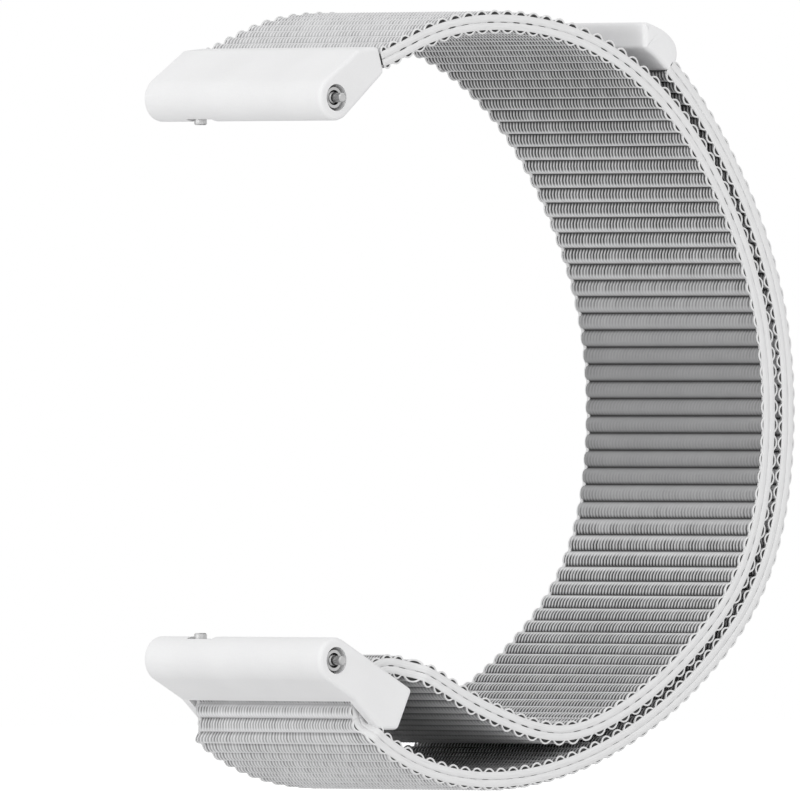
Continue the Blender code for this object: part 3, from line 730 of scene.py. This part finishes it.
def make_weave(name, first, last, tongue=None):
    """A closed stretch of the band: ribs across both faces, and threads along it over each rib."""
    s, ribs, phase = weave_rows(first, last)
    rise = (rib_rise(phase) * HEIGHT_SHARES[ribs])[:, None]
    in_fold = fold_share(s)
    facing = openness(s) + (OPEN_IN_FOLD - openness(s)) * in_fold
    on_run = s < BAND["wrist"]
    in_pocket = smooth_share(s, POCKET_FROM, POCKET_TO) * on_run
    outside = OPEN_OUTSIDE + (OPEN_IN_FOLD - OPEN_OUTSIDE) * in_fold
    outside += (OPEN_IN_POCKET - OPEN_OUTSIDE) * in_pocket
    near = np.where(PATH.direction(s)[:, 0] > 0, phase, 1 - phase)
    on_flank = 1 - (1 - GROOVE_ON_FAR_FLANK) * smooth_share(near, *FLANK_FADE)
    face = half_width(s) - WEAVE_INSET
    slant = np.where(s > BAND["wrist"], THREAD_SLANT_IN_FOLD, THREAD_SLANT)
    aside = (slant * THREAD_PITCH * (phase - 0.5))[:, None]
    aside = aside * (1 - COLUMNS[None, :] ** THREAD_SLANT_FADE)
    across = face[:, None] * COLUMNS[None, :] + aside
    from_end = face[:, None] - np.abs(across)
    flat = GROOVE_WHEN_FLAT + GROOVE_BY_EDGE * smooth_share(from_end, EDGE_REACH, 0)
    # end_share rounds the rib ends and darkens them: painted shade in the holes under the lacing
    end_share = np.clip(1 - from_end / RIB_END_ROUND, 0, 1)
    rounding = np.sqrt(1 - end_share**2 * RIB_END_DROP)
    in_groove = (1 - COLUMN_LIFTS)[None, :] * THREAD_CHANGE[ribs]
    in_valley = np.clip(rise / VALLEY_SHARE, 0, 1)
    # Painted shade in the valleys reaches up to the crests on the run's outside in the pocket
    painted_valley_share = VALLEY_SHARE + (PAINTED_VALLEY_SHARE_IN_POCKET - VALLEY_SHARE) * in_pocket[:, None]
    faces = (
        (np.where(on_run, outside, facing), np.clip(rise / painted_valley_share, 0, 1)),
        (np.where(on_run, facing, outside), in_valley),
    )
    heights, lifts = [], []
    for opened, painted_valley_lift in faces:
        painted_valley_lift = np.maximum(painted_valley_lift, PAINTED_VALLEY_LIFT_IN_FOLD * in_fold[:, None])
        open_share = (flat + (1 - flat) * opened[:, None]) * on_flank[:, None]
        groove = np.clip(open_share * in_groove, 0, 1)
        height = RIB_VALLEY + (RIB_CREST - RIB_VALLEY) * rise * rounding
        heights.append(height - GROOVE_DEPTH * groove * in_valley)
        # Painted shade: the lift falls in the rib valleys, in the thread grooves and at the rib
        # ends
        lifts.append(painted_valley_lift * (1 - GROOVE_PAINTED_SHADE * groove) * (1 - end_share))
    # Painted shade: darker on the inside of the fold, and on the run's wrist side where it stands
    # upright
    painted_shades = [1 - FOLD_INSIDE_PAINTED_SHADE * in_fold, np.where(on_run, 1 - INNER_PAINTED_SHADE * (1 - facing), 1)]
    painted_shades = [np.repeat(painted_shade[:, None], len(COLUMNS), 1) for painted_shade in painted_shades]
    if tongue:
        ends, half_across, half_through = tongue
        comes_first = ends[0] < s[0]

        def with_tongue(plain, rows):
            return np.concatenate([plain, rows] if comes_first else [rows, plain])

        plain = np.repeat(COLUMNS[None, :], len(ends), 0)
        tone = np.full_like(plain, TONGUE_TONE)
        s = with_tongue(np.array(ends), s)
        across = with_tongue(half_across * plain, across)
        heights = [with_tongue(np.full_like(plain, half_through), height) for height in heights]
        lifts = [with_tongue(tone, lift) for lift in lifts]
        painted_shades = [with_tongue(tone, painted_shade) for painted_shade in painted_shades]

    def both_faces(upper, lower):
        return np.concatenate([upper, lower[:, ::-1]], 1)

    places = both_faces(across, across)
    points = spread(s, places, both_faces(heights[0], -heights[1])).reshape(-1, 3)
    ring = places.shape[1]
    distances = np.repeat(s, ring)
    places = places.reshape(-1)
    quads = outward(points, np.concatenate([ring_quads(len(s), ring), end_caps(len(s), ring)]))
    values = {
        "lift": both_faces(*lifts),
        "painted_shade": both_faces(*painted_shades),
        "along": distances / MM,
        "across": places / MM,
    }
    return make_mesh(name, points, quads, WEAVE, values, band_map(quads, places, distances, ring))


def band_map(quads, places, distances, ring):
    """A flat map: the two faces side by side, the long edges beside them, the end caps above."""
    u = ((places - places.min()) / np.ptp(places))[quads]
    v = ((distances - distances.min()) / np.ptp(distances))[quads] * MAP_FACES_HEIGHT
    on_lower = ((np.arange(len(places)) % ring) >= ring // 2)[quads]
    lower = on_lower.all(1)
    mixed = on_lower.any(1) & ~lower
    cap = mixed & (np.ptp(distances[quads], axis=1) < SAME_PLACE)
    wall = mixed & ~cap
    map_u = lower[:, None] / 2 + u * (0.5 - MAP_SIDE)
    wall_end = np.where(places[quads[wall]].mean(1) < 0, 0.5, 1)[:, None]
    map_u[wall] = wall_end - MAP_SIDE * (MAP_SIDE_START - MAP_SIDE_WIDTH * on_lower[wall])
    map_u[cap] = u[cap]
    far_cap = (distances[quads[cap]].mean(1) > distances.mean())[:, None]
    v[cap] = MAP_CAP_START + MAP_CAP_HEIGHT * on_lower[cap] + MAP_CAP_STEP * far_cap
    return np.stack([map_u, v], 2).reshape(-1, 2)


# The edge's ribbons and lacing


def swept(s, across, through):
    """A closed strip or thread with one ring of (across, through) places for each distance."""
    points = spread(s, across, through).reshape(-1, 3)
    quads = np.concatenate([ring_quads(*across.shape), end_caps(*across.shape)])
    values = {"along": np.repeat(s, across.shape[1]) / MM, "across": through.reshape(-1) / MM}
    return points, outward(points, quads), values


def joined(name, parts):
    """One ribbon object from several closed sweeps."""
    starts = np.cumsum([0] + [len(points) for points, _, _ in parts])
    points = np.concatenate([points for points, _, _ in parts])
    quads = np.concatenate([quads + start for (_, quads, _), start in zip(parts, starts)])
    values = {}
    for key in ("along", "across"):
        values[key] = np.concatenate([given[key] for _, _, given in parts])
    return make_mesh(name, points, quads, RIBBON, values)


def ribbon_parts(first, last):
    """Two flat ribbons along each edge, with a dashed groove between them."""
    rib = np.linspace(first, last, (last - first) * RIBBON_STEPS + 1)
    s = rib_place(rib)
    dash = np.where(rib % 1 < RIBBON_DASH_SHARE, DASH_SHARES[rib.astype(int)], 0)
    dash *= openness(s) * np.where(s < BAND["wrist"], 1, TAIL_DASH_SHARE)
    inner = RIBBON_INNER + RIBBON_DASH * dash
    outer = np.full_like(s, RIBBON_OUTER)
    edge = half_width(s) + RIBBON_PROUD
    deep, corner = edge - RIBBON_DEPTH, edge - RIBBON_CORNER
    across = np.stack([deep, corner, edge, edge, corner, deep], 1)
    corners = inner + RIBBON_CORNER, outer - RIBBON_CORNER
    through = np.stack([inner, inner, *corners, outer, outer], 1)
    return [swept(s, side * across, face * through) for side in (-1, 1) for face in (-1, 1)]


def lace_crest(s, face):
    """How far the arches stand out: most between run and tail, least on the tail's outside."""
    if face > 0:
        return LACE_CREST_IN_LAP + (LACE_CREST - LACE_CREST_IN_LAP) * fold_share(s)
    opened = LACE_FLAT_SHARE + (1 - LACE_FLAT_SHARE) * openness(s)
    inner = LACE_FOOT + (LACE_CREST - LACE_FOOT) * opened
    outer = LACE_CREST_OUTSIDE + (LACE_CREST_ON_FOLD - LACE_CREST_OUTSIDE) * fold_share(s)
    return np.where(s < BAND["wrist"], inner, outer)


def lace_parts(first, last):
    """A thread at each of the band's four corners, which arches over the end of every rib."""
    rib = np.linspace(first, last, (last - first) * LACE_STEPS + 1)
    s = rib_place(rib)
    phase = rib % 1
    arch = np.clip(1 - np.abs((2 * phase - 1) / LACE_WIDTH_SHARE) ** LACE_POWER, 0, 1)
    turns = np.arange(LACE_SIDES) * 2 * np.pi / LACE_SIDES
    parts = []
    for side in (-1, 1):
        for face in (-1, 1):
            stand = (lace_crest(s, face) - LACE_FOOT) * arch
            stretch = np.sqrt(1 + np.gradient(stand, s) ** 2)
            centre_x = half_width(s) - LACE_INSET - LACE_LEAN * arch
            centre_n = LACE_FOOT + stand - LACE_RADIUS
            tall = LACE_RADIUS * np.minimum(stretch, LACE_MOST_STRETCH)
            across = centre_x[:, None] + LACE_RADIUS * np.cos(turns)[None, :]
            through = centre_n[:, None] + tall[:, None] * np.sin(turns)[None, :]
            parts.append(swept(s, side * across, face * through))
    return parts


# The pull tab


def cut_corners(points, cuts):
    """A closed outline with its corners cut again and again, which rounds them."""
    for _ in range(cuts):
        after = np.roll(points, -1, axis=0)
        points = np.stack([(3 * points + after) / 4, (points + 3 * after) / 4], 1).reshape(-1, 2)
    return points


def rim_shares(outline, tangent):
    """The share of the rim that each place of the outline takes, less where it turns tightly."""
    step, turn = (
        np.linalg.norm(np.roll(values, -1, axis=0) - np.roll(values, 1, axis=0), axis=1)
        for values in (outline, tangent)
    )
    shares = np.minimum(1, TAB_TURN_SHARE * step / (turn * TAB_RIM))
    for _ in range(TAB_EASE_PASSES):
        shares = np.minimum(shares, (np.roll(shares, 1) + shares + np.roll(shares, -1)) / 3)
    return shares


def make_tab():
    """The moulded tab over the band's end: one outline across the band, with a rim at both ends."""
    end = PATH.at(PATH.length)[0]
    on = PATH.direction(PATH.length - DIRECTION_REACH)[0]
    out = np.array([on[1], -on[0]])
    outline = cut_corners(TAB_OUTLINE, TAB_CUTS)
    tangent = np.roll(outline, -2, axis=0) - np.roll(outline, 2, axis=0)
    tangent /= np.linalg.norm(tangent, axis=1)[:, None]
    inward = np.stack([tangent[:, 1], -tangent[:, 0]], 1)
    inward *= np.sign(((outline.mean(0) - outline) * inward).sum())
    inward *= rim_shares(outline, tangent)[:, None]
    turns = np.linspace(0, math.pi / 2, TAB_RIM_STEPS + 1)
    insets = TAB_RIM * (1 - np.sin(turns))
    places = TAB_HALF_WIDTH - TAB_RIM + TAB_RIM * np.cos(turns)
    across = np.concatenate([-places, places[::-1]])
    insets = np.concatenate([insets, insets[::-1]])
    flat = outline[None] + inward[None] * insets[:, None, None]
    side = end + flat[..., :1] * on + flat[..., 1:] * out
    points = np.concatenate([np.broadcast_to(across[:, None, None], flat[..., :1].shape), side], 2)
    ring = len(outline)
    points = points.reshape(-1, 3)
    quads = np.concatenate([ring_quads(len(across), ring), end_caps(len(across), ring)])
    tab = make_mesh("pull_tab", points, outward(points, quads), FINISHES["moulded_white"])
    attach(tab, "tail")
    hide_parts("end_tab")


def blend_to_tail(piece):
    """Bakes the piece's place into its mesh."""
    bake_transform(piece)


def make_band():
    """The run, the fold and the tail in stretches of weave, with their ribbons and lacing."""
    half_tongue = (TONGUE_WIDTH / 2, TONGUE_THICKNESS / 2)
    cuts = list(range(0, SEAM_RIB, RIBS_IN_A_PIECE))
    cuts = [round(SEAM_RIB * i / len(cuts)) for i in range(len(cuts) + 1)]
    for i, (first, last) in enumerate(zip(cuts, cuts[1:])):
        tongue = ((0.0, BAND_START - TONGUE_STEP), *half_tongue) if first == 0 else None
        piece = make_weave(f"run_weave_{i + 1}", first, last, tongue)
        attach(piece, "strap")
        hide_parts("band_run")
    fold_last = SEAM_RIB + RIBS_IN_FOLD
    cuts = [fold_last, round((fold_last + RIB_COUNT) / 2), RIB_COUNT]
    fold = make_weave("fold_weave", SEAM_RIB, fold_last)
    blend_to_tail(fold)
    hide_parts("band_run", "band_tail")
    for i, (first, last) in enumerate(zip(cuts, cuts[1:])):
        ends = (BAND_END + TONGUE_STEP, PATH.length + TONGUE_LENGTH)
        tongue = (ends, half_tongue[0], TAB_TONGUE_HALF) if last == RIB_COUNT else None
        piece = make_weave(f"tail_weave_{i + 1}", first, last, tongue)
        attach(piece, "tail")
        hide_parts("band_tail")
    for kind, parts in (("ribbon", ribbon_parts), ("lacing", lace_parts)):
        run = joined(f"run_{kind}", parts(0, SEAM_RIB))
        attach(run, "strap")
        tail = joined(f"tail_{kind}", parts(SEAM_RIB, RIB_COUNT))
        blend_to_tail(tail)
        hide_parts("band_run")
        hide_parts("band_tail")


def dress_nodes():
    """Finishes for the moulded and metal pieces, through their own slots."""
    slots = {row["node"]: row["material_slot"] for row in frame["record"]["subparts"]}
    for name, obj in frame["nodes"].items():
        finish = FINISHES.get(slots[name])
        if finish is None:
            continue
        for slot in obj.material_slots:
            slot.material = finish


def press_springs():
    """Gives each coil spring its own copy of its mesh."""
    for bar, height in (("top", HALF_SPACING), ("lower", -HALF_SPACING)):
        spring = frame["nodes"][f"{bar}_bar_spring"]
        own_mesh(spring)


# Camera, light and floor


def add_camera():
    data = bpy.data.cameras.new("camera")
    data.sensor_width = SENSOR
    data.lens = SENSOR * CAMERA_DISTANCE / PICTURE_WIDTH
    data.clip_start, data.clip_end = CAMERA_CLIP
    camera = bpy.data.objects.new("camera", data)
    bpy.context.scene.collection.objects.link(camera)
    right = Vector((math.cos(CAMERA_AZIMUTH), math.sin(CAMERA_AZIMUTH), 0))
    back = Vector((math.sin(CAMERA_AZIMUTH), -math.cos(CAMERA_AZIMUTH), 0))
    pixel = PICTURE_WIDTH / PIXELS_ACROSS
    middle = PIXELS_ACROSS / 2
    target = right * (middle - ORIGIN_PIXEL[0]) * pixel
    target += Vector((0, 0, (ORIGIN_PIXEL[1] - middle) * pixel))
    camera.location = target + back * CAMERA_DISTANCE
    camera.rotation_euler = (-back).to_track_quat("-Z", "Y").to_euler()
    bpy.context.scene.camera = camera


def add_lamp(name, place, size, energy):
    data = bpy.data.lights.new(name, "AREA")
    data.shape = "SQUARE"
    data.size = size
    data.energy = energy
    lamp = bpy.data.objects.new(name, data)
    bpy.context.scene.collection.objects.link(lamp)
    lamp.location = place
    lamp.rotation_euler = (Vector(LAMP_AIM) - Vector(place)).to_track_quat("-Z", "Y").to_euler()
    lamp.visible_camera = False


def maths(tree, operation, a, b):
    return add_node(tree, "ShaderNodeMath", {0: a, 1: b}, operation=operation).outputs[0]


def add_world():
    """A plain soft fill, which the camera, gloss and glass see as white."""
    world = bpy.data.worlds.new("studio")
    bpy.context.scene.world = world
    world.use_nodes = True
    tree = world.node_tree
    tree.nodes.clear()
    rays = add_node(tree, "ShaderNodeLightPath").outputs
    seen = maths(tree, "MAXIMUM", rays["Is Camera Ray"], rays["Is Glossy Ray"])
    seen = maths(tree, "MAXIMUM", seen, rays["Is Transmission Ray"])
    fill, white = (
        add_node(tree, "ShaderNodeBackground", {"Color": WHITE, "Strength": strength}).outputs[0]
        for strength in (WORLD_FILL, WORLD_SEEN)
    )
    mix = add_node(tree, "ShaderNodeMixShader", {0: seen, 1: fill, 2: white})
    out = add_node(tree, "ShaderNodeOutputWorld")
    tree.links.new(mix.outputs[0], out.inputs["Surface"])


def add_floor():
    """A pale floor well below the part, which the camera sees as white but for the shadows."""
    mesh = bpy.data.meshes.new("floor")
    size = FLOOR_HALF_WIDTH
    corners = [(-size, -size, 0), (size, -size, 0), (size, size, 0), (-size, size, 0)]
    mesh.from_pydata(corners, [], [(0, 1, 2, 3)])
    floor = bpy.data.objects.new("floor", mesh)
    bpy.context.scene.collection.objects.link(floor)
    floor.location = (0, 0, cad_box[0][2] - FLOOR_DROP)
    material, tree, shader = new_material("floor_white")
    shader.inputs["Base Color"].default_value = (FLOOR_GREY, FLOOR_GREY, FLOOR_GREY, 1)
    shader.inputs["Roughness"].default_value = 0.9
    shader.inputs["Specular IOR Level"].default_value = 0.0
    rays = add_node(tree, "ShaderNodeLightPath").outputs
    glow = add_node(tree, "ShaderNodeEmission", {"Color": WHITE})
    strength = maths(tree, "MULTIPLY", rays["Is Camera Ray"], FLOOR_GLOW)
    tree.links.new(strength, glow.inputs["Strength"])
    both = add_node(tree, "ShaderNodeAddShader", {0: shader.outputs[0], 1: glow.outputs[0]})
    tree.links.new(both.outputs[0], tree.nodes["Material Output"].inputs["Surface"])
    mesh.materials.append(material)


make_band()
make_tab()
dress_nodes()
press_springs()
add_camera()
add_world()
add_floor()
for lamp in LAMPS:
    add_lamp(*lamp)

bpy.context.scene.view_settings.view_transform = "Standard"
bpy.context.view_layer.update()
